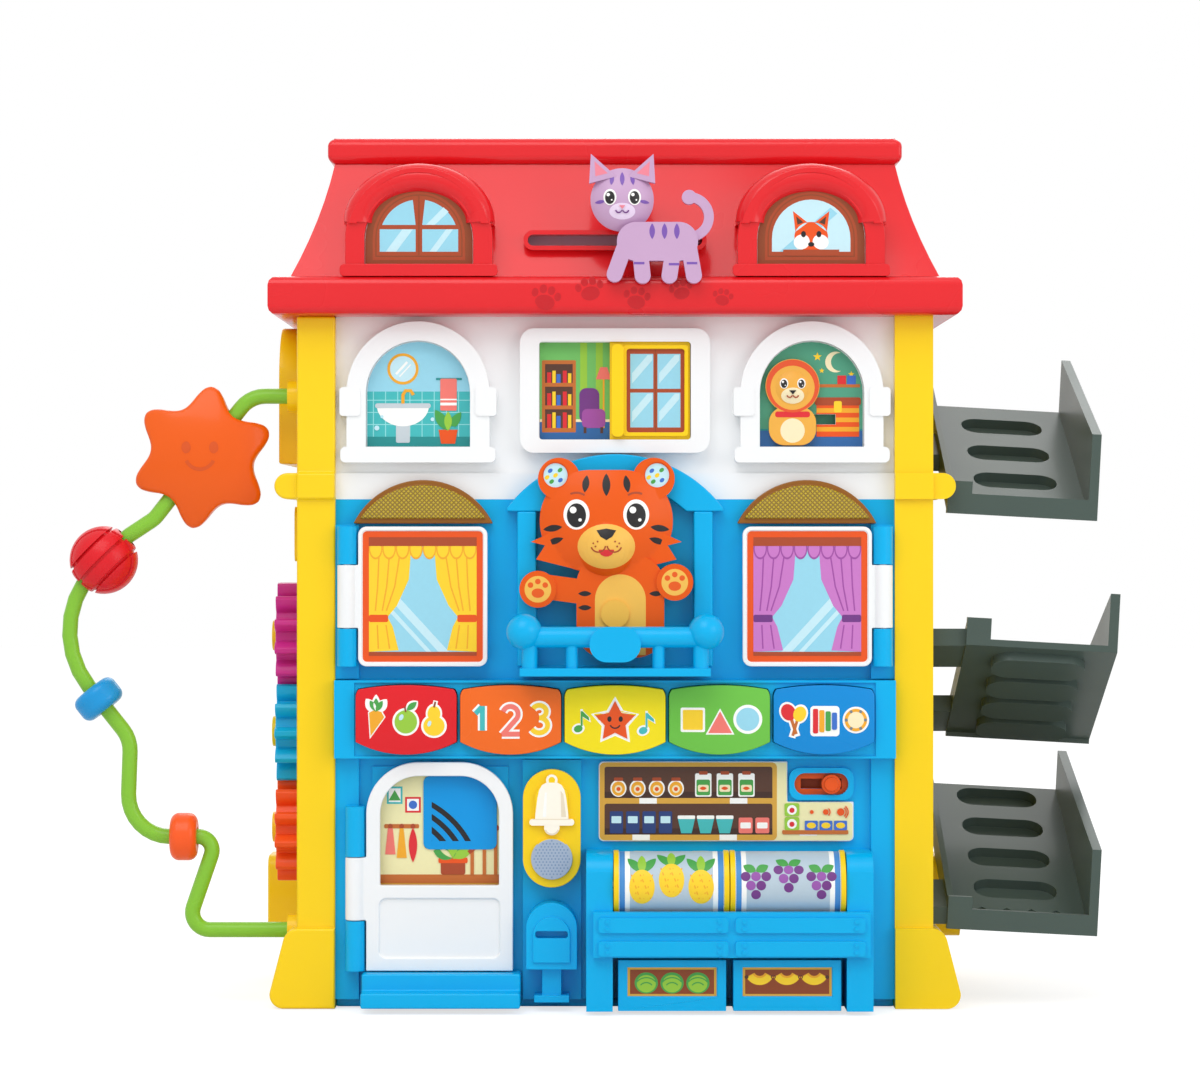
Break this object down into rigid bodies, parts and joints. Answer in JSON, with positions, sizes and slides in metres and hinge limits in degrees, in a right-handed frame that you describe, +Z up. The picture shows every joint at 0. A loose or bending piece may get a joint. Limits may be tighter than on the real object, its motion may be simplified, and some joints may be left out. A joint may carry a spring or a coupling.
{
  "type": "activity house",
  "caption": "Free-standing toddler activity house with hinged door and shutters, press keys, sliders, rollers, gears, a bead wire and ball ramps.",
  "frame": {"origin": "on the floor, under the centre of the house body", "axes": "+Z up, +X to the right seen from the front, the front faces -Y"},
  "size_m": [0.6125, 0.2678, 0.501],
  "materials": {
    "red_plastic": "satin moulded",
    "yellow_plastic": "satin moulded",
    "white_plastic": "satin moulded",
    "blue_plastic": "satin moulded",
    "grey_plastic": "satin moulded",
    "lime_plastic": "satin moulded",
    "sun_plastic": "satin moulded",
    "bead_blue_plastic": "satin moulded",
    "bead_orange_plastic": "satin moulded",
    "purple_plastic": "satin moulded",
    "orange_plastic": "satin moulded",
    "lemon_plastic": "satin moulded",
    "green_plastic": "satin moulded",
    "deep_blue_plastic": "satin moulded",
    "lilac_plastic": "satin moulded",
    "amber_yellow_plastic": "satin moulded",
    "amber_plastic": "clear prismatic",
    "printed_card": "printed label",
    "steel": "plain",
    "board": "laminate",
    "cell_label": "sleeve"
  },
  "bodies": {
    "house": {"base_plate": "blue_plastic", "left_wall": "yellow_plastic", "right_wall": "yellow_plastic", "back_panel": "blue_plastic", "lower_front": "blue_plastic", "upper_front": "white_plastic", "roof_shell": "red_plastic", "roof_cap": "red_plastic", "dormers": "red_plastic", "slot_strip": "lilac_plastic", "picture_cards": "printed_card", "amber_lenses": "amber_plastic", "balcony_arch": "blue_plastic", "balcony_posts": "blue_plastic", "balcony_rail": "blue_plastic", "hinge_pins": "steel", "key_bar": "blue_plastic", "circuit_boards": "board", "speaker_grille": "blue_plastic", "speaker": "grey_plastic", "letterbox": "blue_plastic", "doorstep": "blue_plastic", "shelf_panel": "printed_card", "stall_cheeks": "blue_plastic", "crate_front": "blue_plastic", "produce_boxes": "blue_plastic", "roller_axle": "steel", "gear_axles": "yellow_plastic", "bead_wire": "lime_plastic", "ramp_top": "grey_plastic", "ramp_middle": "grey_plastic", "ramp_lower": "grey_plastic", "battery_box": "grey_plastic", "battery_door": "blue_plastic", "battery_cells": "cell_label", "case_screws": "steel"},
    "cat": {"cat": "lilac_plastic"},
    "window_slider": {"window_slider": "yellow_plastic"},
    "peek_figure": {"peek_figure": "amber_yellow_plastic"},
    "tiger": {"tiger": "orange_plastic"},
    "shutter_left": {"shutter_left": "white_plastic"},
    "shutter_right": {"shutter_right": "white_plastic"},
    "door": {"door": "white_plastic"},
    "key_1": {"key_1": "red_plastic"},
    "key_2": {"key_2": "orange_plastic"},
    "key_3": {"key_3": "lemon_plastic"},
    "key_4": {"key_4": "green_plastic"},
    "key_5": {"key_5": "deep_blue_plastic"},
    "bell_key": {"bell_key": "yellow_plastic"},
    "volume_knob": {"volume_knob": "orange_plastic"},
    "roller_left": {"roller_left": "printed_card"},
    "roller_right": {"roller_right": "printed_card"},
    "gear_upper": {"gear_upper": "purple_plastic"},
    "gear_middle": {"gear_middle": "bead_blue_plastic"},
    "gear_lower": {"gear_lower": "bead_orange_plastic"},
    "sun": {"sun": "sun_plastic"},
    "toy_ball": {"toy_ball": "red_plastic"},
    "blue_bead": {"blue_bead": "bead_blue_plastic"},
    "orange_bead": {"orange_bead": "bead_orange_plastic"}
  },
  "joints": [
    {"name": "shutter_left_hinge", "type": "hinge", "parent": "house", "child": "shutter_left", "pos_m": [-0.1534, -0.109, 0.236], "axis": [0, 0, -1], "range_deg": [0, 120]},
    {"name": "shutter_right_hinge", "type": "hinge", "parent": "house", "child": "shutter_right", "pos_m": [0.1534, -0.109, 0.236], "axis": [0, 0, 1], "range_deg": [0, 120]},
    {"name": "door_hinge", "type": "hinge", "parent": "house", "child": "door", "pos_m": [-0.1488, -0.109, 0.069], "axis": [0, 0, -1], "range_deg": [0, 115]},
    {"name": "tiger_rock", "type": "hinge", "parent": "house", "child": "tiger", "pos_m": [0, -0.111, 0.2265], "axis": [0, 1, 0], "range_deg": [-6, 6], "stiffness_Nm_per_rad": 0.3},
    {"name": "bell_press", "type": "slide", "parent": "house", "child": "bell_key", "axis": [0, 1, 0], "range_m": [0, 0.003], "stiffness_N_per_m": 400},
    {"name": "volume_slide", "type": "slide", "parent": "house", "child": "volume_knob", "axis": [1, 0, 0], "range_m": [-0.014, 0.0035]},
    {"name": "cat_slide", "type": "slide", "parent": "house", "child": "cat", "axis": [1, 0, 0], "range_m": [-0.0625, 0.0265]},
    {"name": "window_slide", "type": "slide", "parent": "house", "child": "window_slider", "axis": [1, 0, 0], "range_m": [-0.038, 0]},
    {"name": "peek_slide", "type": "slide", "parent": "house", "child": "peek_figure", "axis": [1, 0, 0], "range_m": [0, 0.022]},
    {"name": "key_1_press", "type": "slide", "parent": "house", "child": "key_1", "axis": [0, 1, 0], "range_m": [0, 0.003], "stiffness_N_per_m": 400},
    {"name": "key_2_press", "type": "slide", "parent": "house", "child": "key_2", "axis": [0, 1, 0], "range_m": [0, 0.003], "stiffness_N_per_m": 400},
    {"name": "key_3_press", "type": "slide", "parent": "house", "child": "key_3", "axis": [0, 1, 0], "range_m": [0, 0.003], "stiffness_N_per_m": 400},
    {"name": "key_4_press", "type": "slide", "parent": "house", "child": "key_4", "axis": [0, 1, 0], "range_m": [0, 0.003], "stiffness_N_per_m": 400},
    {"name": "key_5_press", "type": "slide", "parent": "house", "child": "key_5", "axis": [0, 1, 0], "range_m": [0, 0.003], "stiffness_N_per_m": 400},
    {"name": "roller_left_spin", "type": "hinge", "parent": "house", "child": "roller_left", "pos_m": [0.032, -0.121, 0.072], "axis": [1, 0, 0], "continuous": true},
    {"name": "roller_right_spin", "type": "hinge", "parent": "house", "child": "roller_right", "pos_m": [0.098, -0.121, 0.072], "axis": [1, 0, 0], "continuous": true},
    {"name": "gear_upper_spin", "type": "hinge", "parent": "house", "child": "gear_upper", "pos_m": [-0.19275, -0.02, 0.2117], "axis": [1, 0, 0], "continuous": true},
    {"name": "gear_middle_spin", "type": "hinge", "parent": "house", "child": "gear_middle", "pos_m": [-0.19275, -0.02, 0.1547], "axis": [1, 0, 0], "continuous": true},
    {"name": "gear_lower_spin", "type": "hinge", "parent": "house", "child": "gear_lower", "pos_m": [-0.19275, -0.02, 0.0977], "axis": [1, 0, 0], "continuous": true},
    {"name": "sun_spin", "type": "hinge", "parent": "house", "child": "sun", "pos_m": [-0.23925, -0.08, 0.3165], "axis": [-0.6159, 0, -0.7879], "continuous": true},
    {"name": "toy_ball_spin", "type": "hinge", "parent": "house", "child": "toy_ball", "pos_m": [-0.29648, -0.08, 0.25692], "axis": [-0.7071, 0, -0.7071], "continuous": true},
    {"name": "blue_bead_spin", "type": "hinge", "parent": "house", "child": "blue_bead", "pos_m": [-0.29948, -0.08, 0.17631], "axis": [0.6212, 0, -0.7836], "continuous": true},
    {"name": "orange_bead_spin", "type": "hinge", "parent": "house", "child": "orange_bead", "pos_m": [-0.24993, -0.08, 0.0965], "axis": [1, 0, 0], "continuous": true}
  ],
  "couplings": [
    {"joint": "gear_upper_spin", "follows": "gear_middle_spin", "ratio": -1},
    {"joint": "gear_lower_spin", "follows": "gear_middle_spin", "ratio": -1}
  ]
}
